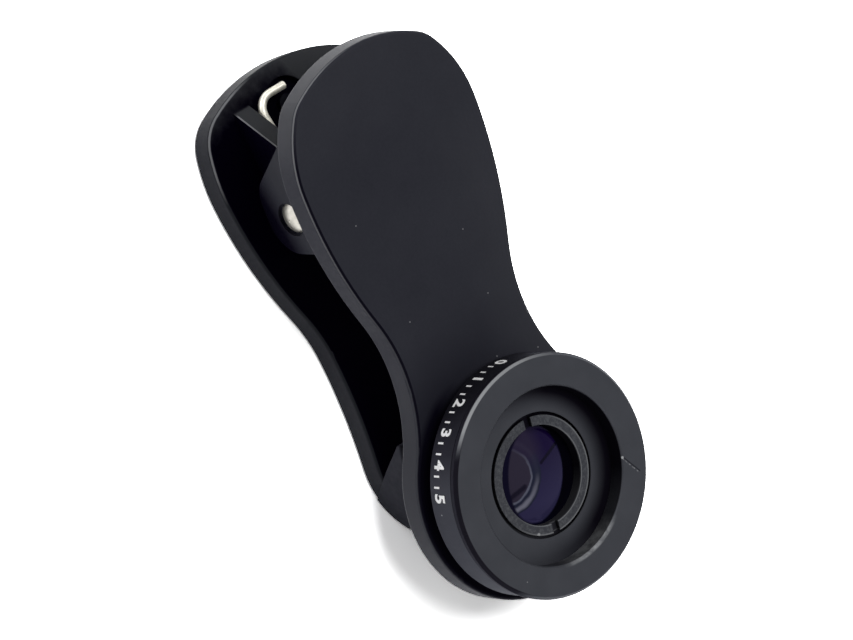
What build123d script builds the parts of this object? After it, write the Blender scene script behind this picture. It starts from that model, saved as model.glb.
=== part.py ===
"""Clip-on phone lens: two sprung jaws on a rivet, with a screw-in macro lens in the front jaw.

Frame: the clip lies on its back jaw. The origin is on the back jaw's outer face, straight under
the hinge. +X runs from the hinge to the finger end, the lens end is on the -X side, +Z is up.
All lengths are millimetres. The front jaw and the lens are built in their own frames: the front
jaw's has its origin on the hinge axis with +X along the jaw, and the lens's has its origin where
the lens axis leaves the jaw's outer face, with +Z out of the lens.
"""
import os
from math import acos, atan2, cos, degrees, hypot, radians, sin, sqrt
from build123d import *

# Lens rings, which the neck and the jaws' round ends follow
ring_r = 15.0             # front ring, the widest part of the lens
ring_face_w = 4.04        # its flat face, from the rim to the recess
band_inset = 0.2          # printed band, inside the front ring
spigot_wall = 1.64        # wall of the recess, part of the front ring
neck_step = 4.8           # screw thread, inside the printed band
jaw_margin = 0.5          # front jaw's round end, outside the front ring
recess_r = ring_r - ring_face_w
barrel_r = ring_r - band_inset
spigot_r = recess_r + spigot_wall
thread_r = barrel_r - neck_step
front_end_r = ring_r + jaw_margin

# Jaws: outlines, seen square to the plates
lens_to_hinge = 39.7      # along the front jaw
front_waist = 5.35        # half width lost from the round end to the narrowest place
front_flare = 4.15        # and gained again at the widest place of the finger end
front_lobe_past = 4.7     # widest place, past the hinge
front_tip_past = 13.1     # tip, past the widest place
front_neck_share = 0.432  # narrowest place, as a share of the way from lens to widest place
front_side_extra = 2.4    # side of the finger end: radius beyond front_tip_past
front_tip_r = 19.5
front_corner_r = 5.0
back_shift = 0.5          # the back jaw sits this much further from the lens end
end_step = 3.2            # the back jaw's round end is this much smaller
end_gap = 1.4             # and its end lies this much further from the lens end
back_waist = 1.55
back_flare = 3.6
back_lobe_past = 4.0
back_tip_past = 12.45
back_neck_share = 0.478
back_side_extra = 9.3
back_tip_r = 23.5
back_corner_r = 6.0
lobe_share = 0.28         # part of the neck-to-lobe curve that is hollow

# Jaws: plates and hinge
front_plate_t = 3.4
back_plate_t = 3.5
edge_r = 0.45             # rounded edges of both plates
ear_root_depth = 0.55     # the ears reach this deep into their plate, past its rounded edge
hinge_above_back = 5.5    # hinge axis above the back jaw's inner face
hinge_below_front = 6.5   # hinge axis below the front jaw's inner face
rest_angle = 9.2          # the closed jaws spread this much towards the fingers, degrees
running_gap = 0.05        # radial clearance of the rivet in both pairs of ears
side_gap = 0.3            # between an outer ear and the inner ear beside it

# Ears: the outer pair is on the front jaw, the inner pair on the back jaw
outer_ear_inset = 3.6     # outer face of an outer ear, inside the jaw's widest place
ear_t = 2.5
outer_ear_drop = 4.7      # lowest point of an outer ear below the hinge
outer_ear_back = 4.6      # lens-side edge, from the hinge
outer_ear_foot = 3.8      # finger-side end of the low edge, before rounding
outer_ear_root = 12.3     # finger-side end at the plate
outer_ear_r1 = 4.2        # rounding on the lens side
outer_ear_r2 = 4.4        # rounding on the finger side
inner_ear_r = 5.9         # round top of an inner ear, about the hinge
inner_ear_root = 13.9     # finger-side end at the plate
inner_ear_back = 5.0      # lens-side end at the plate

# Rivet
rivet_r = 1.4
rivet_head_r = 1.95
rivet_head_h = 0.7
head_seat_r = 2.2         # shallow seat round each head
head_seat_depth = 0.45
dimple_r = 0.5
dimple_depth = 0.3

# Spring: a coil round the rivet, with a bent leg on each jaw
wire_r = 0.52
coil_r = 2.7
coil_pitch = 1.7          # least spacing of its turns
coil_side_gap = 0.38      # between the coil's ends and the inner ears
leg_x = 13.8              # bent end of each leg, from the hinge
leg_corner_share = 0.51   # radius of each leg's bend, as a share of half the coil's width
leg_overlap = 0.5         # each leg starts this far inside the coil's end
join_tol = 0.002
leg_past_middle = 0.1     # the bent ends stop this far past the middle of the clip
pocket_r = 3.3            # round pocket in the back jaw, under the leg's bend
pocket_inset = 2.2        # its centre, on the hinge side of the bent end
pocket_depth = 1.0
boss_r = 1.1              # boss in the pocket
boss_h = 0.8
boss_dimple_r = 0.45
boss_dimple_depth = 0.3

# Rubber pads
front_pad_inset = 0.9     # from the front jaw's edge
front_pad_hole_gap = 0.6  # round the lens's neck
front_pad_t = 0.8
closed_gap = 0.05         # between the two pads when the jaws are closed
skirt_t = 0.8             # rubber round the edge of the back jaw's end
skirt_proud = 0.12
skirt_lift = 0.2          # the skirt stops short of the face that the clip lies on
pad_end_top = 8.7         # finger-side end of the back pad at its top, from the lens axis
pad_end_foot = 2.45       # and at the back jaw's outer face
pad_edge_r = 0.35

# Lens holder and washer in the front jaw
thread_gap = 0.05         # round the screw thread
insert_wall = 1.15
insert_flange_w = 0.7
insert_flange_t = 0.8
washer_w = 3.0
washer_t = 1.2
seat_gap = 0.02           # flat faces that only touch

# Lens barrel and front ring, heights above the front jaw's outer face
barrel_bevel = 0.3
barrel_top = 5.55         # front edge of the printed band
neck_end = -2.6           # rear end of the screw thread
floor_z = 4.39            # floor of the recess
ring_top = 6.64
ring_bevel = 0.35
ring_seam = 0.12          # open seam between band and front ring
retainer_over = 0.44      # retaining ring, outside the glass
retainer_wall = 1.2
retainer_t = 1.5
retainer_proud = 0.12
groove_w = 0.41           # clearance groove round the retaining ring
groove_depth = 0.5
slot_w = 1.1              # spanner slots
slot_depth = 0.6
slot_angle = -7.0         # their direction about the lens axis, from the finger side

# Glass
glass_r = 6.9
glass_gap = 0.03
glass_edge_t = 1.1
glass_rim_w = 1.3         # flat rim round the curved part of each face
front_bulge = 0.62
inner_bulge = 0.45
spacer_t = 1.15
spacer_wall = 0.7
stop_t = 0.25
stop_rim_w = 2.3
seat_rim_w = 1.0          # the barrel's seat behind the rear glass

front_inner_z = hinge_below_front
front_outer_z = hinge_below_front + front_plate_t
hinge_z = back_plate_t + hinge_above_back
front_neck_half_w = front_end_r - front_waist
front_lobe_half_w = front_neck_half_w + front_flare
back_end_r = front_end_r - end_step
back_end_x = end_step + end_gap
back_neck_half_w = back_end_r - back_waist
outer_ear_face = front_lobe_half_w - outer_ear_inset
outer_ear_inner = outer_ear_face - ear_t
inner_ear_face = outer_ear_inner - side_gap
coil_half_w = inner_ear_face - ear_t - coil_side_gap - wire_r
coil_turns = int(2 * coil_half_w / coil_pitch)
leg_corner_r = coil_half_w * leg_corner_share
pocket_x = leg_x - pocket_inset
hole_r = rivet_r + running_gap
insert_hole_r = thread_r + thread_gap
insert_r = insert_hole_r + insert_wall
insert_flange_r = insert_r + insert_flange_w
front_pad_r = front_end_r - front_pad_inset
front_pad_hole_r = thread_r + front_pad_hole_gap
washer_r = thread_r + washer_w
retainer_r = glass_r + retainer_over
retainer_hole_r = retainer_r - retainer_wall
groove_r = retainer_r + groove_w
clear_r = glass_r - glass_rim_w
stop_hole_r = glass_r - stop_rim_w
rear_window_r = glass_r - seat_rim_w
back_lens_x = -lens_to_hinge + back_shift
front_frame = Pos(0, 0, hinge_z) * Rot(0, -rest_angle, 0)
lens_frame = front_frame * Pos(-lens_to_hinge, 0, front_outer_z)


def arc(centre, r, start, end):
    """Arc about a centre in the XY plane, from one angle to another, in degrees."""
    points = [
        (centre[0] + r * cos(radians(a)), centre[1] + r * sin(radians(a)))
        for a in (start, (start + end) / 2, end)
    ]
    return ThreePointArc(*points)


def angle_to(centre, point):
    """Direction from a centre to a point, in degrees."""
    return degrees(atan2(point[1] - centre[1], point[0] - centre[0]))


def circles_meet(c1, r1, c2, r2):
    """Upper meeting point of two circles."""
    dx = c2[0] - c1[0]
    dy = c2[1] - c1[1]
    d = hypot(dx, dy)
    along = (r1 ** 2 - r2 ** 2 + d ** 2) / (2 * d)
    up = sqrt(r1 ** 2 - along ** 2)
    first = (c1[0] + (along * dx - up * dy) / d, c1[1] + (along * dy + up * dx) / d)
    second = (c1[0] + (along * dx + up * dy) / d, c1[1] + (along * dy - up * dx) / d)
    return max(first, second, key=lambda point: point[1])


def jaw_outline(end, neck, lobe, side_r, corner_r, tip, grow):
    """Hourglass outline of a jaw from seven tangent arcs a side, with x from the lens axis.

    end is the round end's (centre x, radius), neck and lobe the narrowest and the widest place
    as (x, half width), and tip the finger end's (x, radius). grow moves the whole outline
    outwards (or inwards if negative).
    """
    run = neck[0] - end[0]
    waist_r = (run ** 2 + neck[1] ** 2 - end[1] ** 2) / (2 * (end[1] - neck[1]))
    waist = (neck[0], neck[1] + waist_r)
    rise = lobe[1] - neck[1]
    span = (rise ** 2 + (lobe[0] - neck[0]) ** 2) / (2 * rise)
    hollow_r = span * lobe_share
    crown_r = span - hollow_r
    hollow = (neck[0], neck[1] + hollow_r)
    crown = (lobe[0], lobe[1] - crown_r)
    side = (lobe[0], lobe[1] - side_r)
    cap = (tip[0] - tip[1], 0)
    corner = circles_meet(side, side_r - corner_r, cap, tip[1] - corner_r)
    centre = (end[0], 0)
    leave = angle_to(centre, waist)
    turn = angle_to(hollow, crown)
    upper = Curve() + [
        arc(centre, end[1] + grow, 180, leave),
        arc(waist, waist_r - grow, leave - 180, -90),
        arc(hollow, hollow_r - grow, -90, turn),
        arc(crown, crown_r + grow, turn + 180, 90),
        arc(side, side_r + grow, 90, angle_to(side, corner)),
        arc(corner, corner_r + grow, angle_to(side, corner), angle_to(cap, corner)),
        arc(cap, tip[1] + grow, angle_to(cap, corner), 0),
    ]
    return make_face(upper + mirror(upper, about=Plane.XZ))


def front_outline():
    """Front jaw's outline in its own frame."""
    lobe_x = lens_to_hinge + front_lobe_past
    neck = (lobe_x * front_neck_share, front_neck_half_w)
    lobe = (lobe_x, front_lobe_half_w)
    side_r = front_tip_past + front_side_extra
    tip = (lobe_x + front_tip_past, front_tip_r)
    face = jaw_outline((0, front_end_r), neck, lobe, side_r, front_corner_r, tip, 0)
    return Pos(-lens_to_hinge, 0, 0) * face


def back_outline(grow=0):
    """Back jaw's outline, moved outwards by grow."""
    lobe_x = lens_to_hinge + back_lobe_past
    neck = (lobe_x * back_neck_share, back_neck_half_w)
    lobe = (lobe_x, back_neck_half_w + back_flare)
    side_r = back_tip_past + back_side_extra
    tip = (lobe_x + back_tip_past, back_tip_r)
    end = (back_end_x, back_end_r)
    face = jaw_outline(end, neck, lobe, side_r, back_corner_r, tip, grow)
    return Pos(back_lens_x, 0, 0) * face


def plate(outline, thickness):
    """Jaw plate with both rims rounded."""
    solid = extrude(outline, amount=thickness)
    rims = solid.faces().sort_by(Axis.Z)
    return fillet(rims[0].edges() + rims[-1].edges(), radius=edge_r)


def turned(profile):
    """Solid of revolution about Z from (radius, height) corners."""
    outline = Polyline(*[(r, 0, z) for r, z in profile], close=True)
    return revolve(make_face(outline), Axis.Z, 360)


def washer_shape(outer, inner, low, high):
    """Plain ring about Z."""
    return turned([(inner, low), (outer, low), (outer, high), (inner, high)])


def cross_hole(r, x, z):
    """Hole tool along Y through the whole clip."""
    return Pos(x, 0, z) * Rot(90, 0, 0) * Cylinder(r, 4 * outer_ear_face)


def ear_pair(profile, inner_y):
    """Two mirrored ears from a face in the XZ plane."""
    ear = Pos(0, inner_y + ear_t, 0) * extrude(profile, amount=ear_t, dir=(0, -1, 0))
    return ear + mirror(ear, about=Plane.XZ)


def head_seats(x, z):
    """Shallow round seats for the rivet's heads in the outer ears."""
    seat = Pos(x, outer_ear_face, z) * Rot(90, 0, 0) * Cylinder(head_seat_r, 2 * head_seat_depth)
    return seat + mirror(seat, about=Plane.XZ)


def make_front_jaw():
    """Front jaw in its own frame, with the lens hole and the outer ears."""
    body = Pos(0, 0, front_inner_z) * plate(front_outline(), front_plate_t)
    corners = Polyline(
        (-outer_ear_back, 0, front_inner_z + ear_root_depth),
        (-outer_ear_back, 0, -outer_ear_drop),
        (outer_ear_foot, 0, -outer_ear_drop),
        (outer_ear_root, 0, front_inner_z),
        (outer_ear_root, 0, front_inner_z + ear_root_depth),
        close=True,
    )
    profile = make_face(corners)
    low = profile.vertices().filter_by(lambda v: v.Z < 0).sort_by(Axis.X)
    profile = fillet(low[0], radius=outer_ear_r1)
    low = profile.vertices().filter_by(lambda v: v.Z < 0 and v.X > outer_ear_foot / 2)
    profile = fillet(low.sort_by(Axis.Z)[0], radius=outer_ear_r2)
    body += ear_pair(profile, outer_ear_inner)
    body -= cross_hole(hole_r, 0, 0)
    body -= head_seats(0, 0)
    below = front_inner_z - front_plate_t
    lens_hole = washer_shape(insert_r, 0, below, front_outer_z + front_plate_t)
    flange_seat = washer_shape(insert_flange_r, 0, below, front_inner_z + insert_flange_t)
    body -= Pos(-lens_to_hinge, 0, 0) * (lens_hole + flange_seat)
    return front_frame * body


def pad_end_cut(length):
    """Half space on the lens side of the back pad's sloping end."""
    top = (back_lens_x + pad_end_top, 0, hinge_z)
    foot = (back_lens_x + pad_end_foot, 0, 0)
    lean = (top[0] - foot[0]) / (top[2] - foot[2])
    far = back_lens_x - length
    side = Polyline(
        (foot[0] - lean * length, 0, -length),
        (foot[0] + lean * 2 * length, 0, 2 * length),
        (far, 0, 2 * length),
        (far, 0, -length),
        close=True,
    )
    return extrude(make_face(side), amount=length, both=True)


def make_back_jaw():
    """Back jaw with the inner ears, the spring's pocket and the stepped edge for its pad."""
    body = plate(back_outline(), back_plate_t)
    tongue = extrude(back_outline(-skirt_t), amount=back_plate_t)
    rim = extrude(back_outline(), amount=back_plate_t) - tongue
    body -= rim & pad_end_cut(2 * lens_to_hinge)
    reach = hypot(inner_ear_root, hinge_above_back)
    lean = atan2(-hinge_above_back, inner_ear_root) + acos(inner_ear_r / reach)
    touch = (inner_ear_r * cos(lean), inner_ear_r * sin(lean))
    reach_back = hypot(inner_ear_back, hinge_above_back)
    lean_back = atan2(-hinge_above_back, -inner_ear_back) - acos(inner_ear_r / reach_back)
    touch_back = (inner_ear_r * cos(lean_back), inner_ear_r * sin(lean_back))
    root_z = back_plate_t - ear_root_depth
    edge = Curve() + [
        Line((-inner_ear_back, 0, root_z), (inner_ear_root, 0, root_z)),
        Line((inner_ear_root, 0, root_z), (inner_ear_root, 0, back_plate_t)),
        Line((inner_ear_root, 0, back_plate_t), (touch[0], 0, hinge_z + touch[1])),
        ThreePointArc(
            (touch[0], 0, hinge_z + touch[1]),
            (0, 0, hinge_z + inner_ear_r),
            (touch_back[0], 0, hinge_z + touch_back[1]),
        ),
        Line((touch_back[0], 0, hinge_z + touch_back[1]), (-inner_ear_back, 0, back_plate_t)),
        Line((-inner_ear_back, 0, back_plate_t), (-inner_ear_back, 0, root_z)),
    ]
    body += ear_pair(make_face(edge), inner_ear_face - ear_t)
    body -= cross_hole(hole_r, 0, hinge_z)
    body -= Pos(pocket_x, 0, back_plate_t) * Cylinder(pocket_r, 2 * pocket_depth)
    boss_top = back_plate_t - pocket_depth + boss_h
    boss = washer_shape(boss_r, 0, back_plate_t - 2 * pocket_depth, boss_top)
    boss -= Pos(0, 0, boss_top) * Cylinder(boss_dimple_r, 2 * boss_dimple_depth)
    return body + Pos(pocket_x, 0, 0) * boss


def make_hinge_rivet():
    """One rivet along Y with a domed and dimpled head at each end."""
    seat_y = outer_ear_face - head_seat_depth
    dome_r = (rivet_head_r ** 2 + rivet_head_h ** 2) / (2 * rivet_head_h)
    shaft = Cylinder(rivet_r, 2 * seat_y)
    ball = Pos(0, 0, seat_y + rivet_head_h - dome_r) * Sphere(dome_r)
    slab = Pos(0, 0, seat_y + rivet_head_h / 2) * Cylinder(rivet_head_r, rivet_head_h)
    dimple = Pos(0, 0, seat_y + rivet_head_h) * Cone(0, dimple_r, 2 * dimple_depth)
    head = (ball & slab) - dimple
    rivet = shaft + head + mirror(head, about=Plane.XY)
    return front_frame * Rot(-90, 0, 0) * rivet


def wire(path):
    """Spring wire along a path."""
    return sweep(Plane(origin=path @ 0, z_dir=path % 0) * Circle(wire_r), path=path)


def leg_start(target_x, target_z, side):
    """Angle on the coil, in degrees, where a straight leg to the target leaves it."""
    reach = hypot(target_x, target_z)
    return degrees(atan2(target_z, target_x)) + side * degrees(acos(coil_r / reach))


def make_torsion_spring():
    """Torsion spring: a coil round the rivet, and a leg along each jaw with its end bent inwards."""
    low_z = wire_r + seat_gap - hinge_above_back
    high_z = front_inner_z - wire_r - seat_gap
    low = leg_start(leg_x, low_z, -1)
    high = leg_start(leg_x, high_z, 1) + rest_angle
    turn = (low - high) % 360 + 360 * coil_turns
    coil_plane = Plane(
        origin=(0, coil_half_w, 0),
        x_dir=(cos(radians(low)), 0, sin(radians(low))),
        z_dir=(0, -1, 0),
    )
    pitch = 2 * coil_half_w * 360 / turn
    coil = coil_plane * Helix(pitch, 2 * coil_half_w, coil_r, lefthand=True)
    lean = radians(rest_angle)
    high_x = leg_x * cos(lean) - high_z * sin(lean)
    lifted_z = leg_x * sin(lean) + high_z * cos(lean)
    low_leg = bent_leg(low, coil_half_w, leg_x, low_z)
    high_leg = bent_leg(high, -coil_half_w, high_x, lifted_z)
    return Pos(0, 0, hinge_z) * wire(coil).fuse(wire(low_leg), wire(high_leg), tol=join_tol)


def bent_leg(angle, y, x, z):
    """Path of a leg from the coil at an angle in degrees to its bent end at x, z."""
    leave = Vector(coil_r * cos(radians(angle)), y, coil_r * sin(radians(angle)))
    start = leave - (Vector(x, y, z) - leave).normalized() * leg_overlap
    tip_y = -leg_past_middle if y > 0 else leg_past_middle
    return FilletPolyline(start, (x, y, z), (x, tip_y, z), radius=leg_corner_r)


def make_back_pad():
    """Rubber pad on the back jaw's end, with a skirt that hides the plate's edge."""
    face_z = hinge_below_front - front_pad_t - closed_gap
    tall = Pos(0, 0, skirt_lift) * extrude(back_outline(skirt_proud), amount=2 * hinge_z)
    above = front_frame * Pos(0, 0, face_z + 2 * hinge_z) * Box(
        6 * lens_to_hinge, 4 * front_end_r, 4 * hinge_z
    )
    body = (tall & pad_end_cut(2 * lens_to_hinge)) - above
    body = fillet(body.faces().sort_by(Axis.Z)[-1].edges(), radius=pad_edge_r)
    return body - extrude(back_outline(-skirt_t), amount=back_plate_t)


def make_front_pad():
    """Thin rubber ring on the front jaw's inner face, round the lens."""
    low = -front_plate_t - front_pad_t
    return lens_frame * washer_shape(front_pad_r, front_pad_hole_r, low, -front_plate_t)


def make_lens_insert():
    """Threaded metal ring in the front jaw, flanged on the inner side."""
    low = -front_plate_t
    step = low + insert_flange_t
    inner = insert_hole_r
    profile = [(inner, low), (insert_flange_r, low), (insert_flange_r, step), (insert_r, step)]
    return lens_frame * turned(profile + [(insert_r, 0), (inner, 0)])


def make_neck_washer():
    """Rubber washer on the lens's neck."""
    low = seat_gap
    return lens_frame * washer_shape(washer_r, insert_hole_r, low, low + washer_t)


glass_top = floor_z + retainer_proud - retainer_t
glass_low = glass_top - glass_edge_t
spacer_low = glass_low - spacer_t
rear_low = spacer_low - stop_t - glass_edge_t


def make_lens_barrel():
    """Barrel: printed band, screw neck, stepped seat for the glass and floor of the recess."""
    shoulder = washer_t + 2 * seat_gap
    cell_r = glass_r + glass_gap
    groove_z = floor_z - groove_depth
    profile = [
        (rear_window_r, neck_end),
        (thread_r - barrel_bevel, neck_end),
        (thread_r, neck_end + barrel_bevel),
        (thread_r, shoulder),
        (barrel_r - barrel_bevel, shoulder),
        (barrel_r, shoulder + barrel_bevel),
        (barrel_r, barrel_top - barrel_bevel / 2),
        (barrel_r - barrel_bevel / 2, barrel_top),
        (spigot_r + glass_gap, barrel_top),
        (spigot_r + glass_gap, floor_z),
        (groove_r, floor_z),
        (groove_r, groove_z),
        (retainer_r + glass_gap, groove_z),
        (retainer_r + glass_gap, glass_top),
        (cell_r, glass_top),
        (cell_r, rear_low),
        (rear_window_r, rear_low),
    ]
    return lens_frame * turned(profile)


def make_front_ring():
    """Front ring: bevelled flange and the spigot that forms the wall of the recess."""
    low = floor_z + seat_gap
    flange = barrel_top + ring_seam
    profile = [
        (recess_r, low),
        (spigot_r, low),
        (spigot_r, flange),
        (ring_r - ring_bevel / 2, flange),
        (ring_r, flange + ring_bevel / 2),
        (ring_r, ring_top - ring_bevel),
        (ring_r - ring_bevel, ring_top),
        (recess_r + ring_bevel / 2, ring_top),
        (recess_r, ring_top - ring_bevel / 2),
    ]
    return lens_frame * turned(profile)


def make_retaining_ring():
    """Screwed ring that holds the glass, with two spanner slots."""
    top = floor_z + retainer_proud
    low = glass_top + seat_gap
    body = washer_shape(retainer_r, retainer_hole_r, low, top)
    slot = Pos(0, 0, top) * Box(3 * retainer_r, slot_w, 2 * slot_depth)
    return lens_frame * (body - Rot(0, 0, slot_angle) * slot)


def sphere_arc(top, sag, side):
    """Half of a shallow spherical face: from the axis at its top out to the clear radius."""
    r = (clear_r ** 2 + sag ** 2) / (2 * sag)
    half_sag = r - sqrt(r ** 2 - clear_r ** 2 / 4)
    return ThreePointArc(
        (0, 0, top), (clear_r / 2, 0, top - side * half_sag), (clear_r, 0, top - side * sag)
    )


def make_glass(low, bulge_low, bulge_high):
    """Glass element with a flat rim and curved faces; a bulge of 0 leaves that face flat."""
    high = low + glass_edge_t
    section = Curve() + [
        Line((0, 0, low - bulge_low), (0, 0, high + bulge_high)),
        Line((clear_r, 0, high), (glass_r, 0, high)),
        Line((glass_r, 0, high), (glass_r, 0, low)),
        Line((glass_r, 0, low), (clear_r, 0, low)),
        sphere_arc(low - bulge_low, bulge_low, -1),
    ]
    if bulge_high > 0:
        section += sphere_arc(high + bulge_high, bulge_high, 1)
    else:
        section += Line((0, 0, high), (clear_r, 0, high))
    return lens_frame * revolve(make_face(section), Axis.Z, 360)


def make_spacer():
    """Ring that keeps the two glasses apart."""
    return lens_frame * washer_shape(glass_r, glass_r - spacer_wall, spacer_low, glass_low)


def make_stop():
    """Thin blackened disc with the lens's aperture."""
    return lens_frame * washer_shape(glass_r, stop_hole_r, spacer_low - stop_t, spacer_low)


nodes = {
    "back_jaw": make_back_jaw(),
    "front_jaw": make_front_jaw(),
    "hinge_rivet": make_hinge_rivet(),
    "torsion_spring": make_torsion_spring(),
    "back_pad": make_back_pad(),
    "front_pad": make_front_pad(),
    "lens_insert": make_lens_insert(),
    "neck_washer": make_neck_washer(),
    "lens_barrel": make_lens_barrel(),
    "front_ring": make_front_ring(),
    "retaining_ring": make_retaining_ring(),
    "front_glass": make_glass(glass_low, inner_bulge, front_bulge),
    "glass_spacer": make_spacer(),
    "aperture_stop": make_stop(),
    "rear_glass": make_glass(rear_low, inner_bulge, 0),
}

os.makedirs("parts", exist_ok=True)
for name, solid in nodes.items():
    export_step(solid, f"parts/{name}.step")
    print(name, round(solid.volume, 1), "mm3")
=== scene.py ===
import bpy
import numpy as np
from mathutils import Euler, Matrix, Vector


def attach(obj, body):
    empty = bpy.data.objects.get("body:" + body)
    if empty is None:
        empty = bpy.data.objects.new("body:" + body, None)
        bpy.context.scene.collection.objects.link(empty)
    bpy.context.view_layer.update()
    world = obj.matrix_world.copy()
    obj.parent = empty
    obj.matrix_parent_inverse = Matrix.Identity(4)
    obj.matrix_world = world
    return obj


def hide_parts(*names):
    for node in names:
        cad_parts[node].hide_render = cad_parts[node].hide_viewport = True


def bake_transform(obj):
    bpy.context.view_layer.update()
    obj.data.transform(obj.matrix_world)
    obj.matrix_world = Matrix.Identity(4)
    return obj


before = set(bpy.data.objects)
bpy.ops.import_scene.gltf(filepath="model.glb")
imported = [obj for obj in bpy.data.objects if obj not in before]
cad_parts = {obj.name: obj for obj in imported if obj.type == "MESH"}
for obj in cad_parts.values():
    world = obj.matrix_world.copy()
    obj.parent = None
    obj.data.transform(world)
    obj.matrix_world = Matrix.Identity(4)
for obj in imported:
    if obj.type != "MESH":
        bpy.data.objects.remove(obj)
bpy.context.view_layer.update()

mm = 0.001
tau = 2 * np.pi
noiseSpan = (0.3, 0.7)  # nearly all values of a noise lie between these
noiseMiddle = 0.5
spotCore = 0.6  # share of a spot's radius that is at full strength
strokeCore = 0.4  # the same share of a stroke's width

# The front jaw leans by its rest angle about the hinge. The lens frame has its origin where the
# lens axis leaves the front jaw's outer face, with +Z out of the lens.
clip = {
    "hingeHeight": 9.0,  # hinge axis above the floor
    "restAngle": np.radians(9.2),  # lean of the front jaw
    "lensToHinge": 39.7,  # along the front jaw
    "frontOuter": 9.9,  # hinge axis to the front jaw's outer face
}
leanCos = np.cos(clip["restAngle"])
leanSin = np.sin(clip["restAngle"])
hinge = np.array([0, 0, clip["hingeHeight"]])
lensOrigin = np.array([
    -clip["lensToHinge"] * leanCos - clip["frontOuter"] * leanSin,
    0.0,
    clip["hingeHeight"] - clip["lensToHinge"] * leanSin + clip["frontOuter"] * leanCos,
])


# lens frame to the part's frame: turned by the rest angle, then moved to the lens's place
def lensToPart(points):
    x, y, z = np.asarray(points, float).T
    return np.stack([
        lensOrigin[0] + x * leanCos - z * leanSin,
        y,
        lensOrigin[2] + x * leanSin + z * leanCos,
    ], axis=1)


# new material with an empty node tree
def newTree(name):
    material = bpy.data.materials.new(name)
    material.use_nodes = True
    material.node_tree.nodes.clear()
    return material, material.node_tree


# node with its settings, and each input set to a number or linked to a socket
def add(tree, kind, inputs=None, **settings):
    node = tree.nodes.new(kind)
    for key, value in settings.items():
        setattr(node, key, value)
    for key, value in (inputs or {}).items():
        if isinstance(value, bpy.types.NodeSocket):
            tree.links.new(value, node.inputs[key])
        else:
            node.inputs[key].default_value = value
    return node


# one step of arithmetic on one or two values, held between 0 and 1 where clamp is set
def maths(tree, operation, *values, clamp=False):
    inputs = dict(enumerate(values))
    return add(tree, "ShaderNodeMath", inputs, operation=operation, use_clamp=clamp).outputs[0]


# one operation carried on through all the values
def chain(tree, operation, values):
    result = values[0]
    for value in values[1:]:
        result = maths(tree, operation, result, value)
    return result


# product of the values
def times(tree, *values):
    return chain(tree, "MULTIPLY", values)


# sum of the values
def plus(tree, *values):
    return chain(tree, "ADD", values)


# largest of the values
def highest(tree, *values):
    return chain(tree, "MAXIMUM", values)


# one step of vector arithmetic, which gives a vector, or a number where out is "Value"
def vectorMaths(tree, operation, *values, out="Vector"):
    inputs = dict(enumerate(values))
    return add(tree, "ShaderNodeVectorMath", inputs, operation=operation).outputs[out]


# object coordinates in millimetres, in a frame turned by the rest angle about Y and moved to a place
def leaningCoords(tree, place):
    settings = {
        "Vector": add(tree, "ShaderNodeTexCoord").outputs["Object"],
        "Location": tuple(place * mm),
        "Rotation": (0, -clip["restAngle"], 0),
        "Scale": (mm,) * 3,
    }
    return add(tree, "ShaderNodeMapping", settings, vector_type="TEXTURE").outputs[0]


# object coordinates in millimetres in the lens frame
def lensCoords(tree):
    return leaningCoords(tree, lensOrigin)


# object coordinates in millimetres in the part's own frame
def partCoords(tree):
    place = add(tree, "ShaderNodeTexCoord").outputs["Object"]
    return add(tree, "ShaderNodeMapping", {"Vector": place, "Scale": (1 / mm,) * 3}).outputs[0]


# x, y and z of a vector
def axes(tree, vector):
    return add(tree, "ShaderNodeSeparateXYZ", {0: vector}).outputs


# fractal noise with so many cells to a millimetre
def noise(tree, vector, perMm, detail=2.0, roughness=0.5):
    inputs = {"Vector": vector, "Scale": perMm, "Detail": detail, "Roughness": roughness}
    return add(tree, "ShaderNodeTexNoise", inputs).outputs[0]


# value stretched from low..high to start..end and held there, with low and high measured from a level
def ramp(tree, value, low, high, start=0.0, end=1.0, level=0.0):
    span = {"From Min": level + low, "From Max": level + high, "To Min": start, "To Max": end}
    return add(tree, "ShaderNodeMapRange", {"Value": value, **span}).outputs[0]


# noise stretched from its usual span to start..end
def spread(tree, value, start=0.0, end=1.0):
    return ramp(tree, value, *noiseSpan, start, end)


# 1 between low and high, measured from a level, falling to 0 over the soft width outside them
def window(tree, value, low, high, soft, level=0.0):
    rise = ramp(tree, value, low - soft, low, level=level)
    fall = ramp(tree, value, high + soft, high, level=level)
    return times(tree, rise, fall)


# first colour where the factor is 0, second where it is 1
def mixColour(tree, factor, first, second):
    return add(tree, "ShaderNodeMix", {0: factor, 6: first, 7: second}, data_type="RGBA").outputs[2]


# normal from a height of 0 to 1 that stands for a distance in metres
def bump(tree, height, strength, distance):
    inputs = {"Height": height, "Strength": strength, "Distance": distance}
    return add(tree, "ShaderNodeBump", inputs).outputs[0]


# principled shader joined to the output; _ in a keyword stands for a space in the socket's name
def surface(tree, **inputs):
    named = {key.replace("_", " "): value for key, value in inputs.items()}
    shader = add(tree, "ShaderNodeBsdfPrincipled", named)
    add(tree, "ShaderNodeOutputMaterial", {"Surface": shader.outputs[0]})


# straight distance from a vector to a place
def distance(tree, vector, place):
    return vectorMaths(tree, "DISTANCE", vector, place, out="Value")


# 1 inside any of the round spots, from the distance to each place
def spots(tree, vector, places, radius):
    total = 0.0
    for place in places:
        inside = ramp(tree, distance(tree, vector, place), radius, radius * spotCore)
        total = maths(tree, "ADD", total, inside, clamp=True)
    return total


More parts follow.
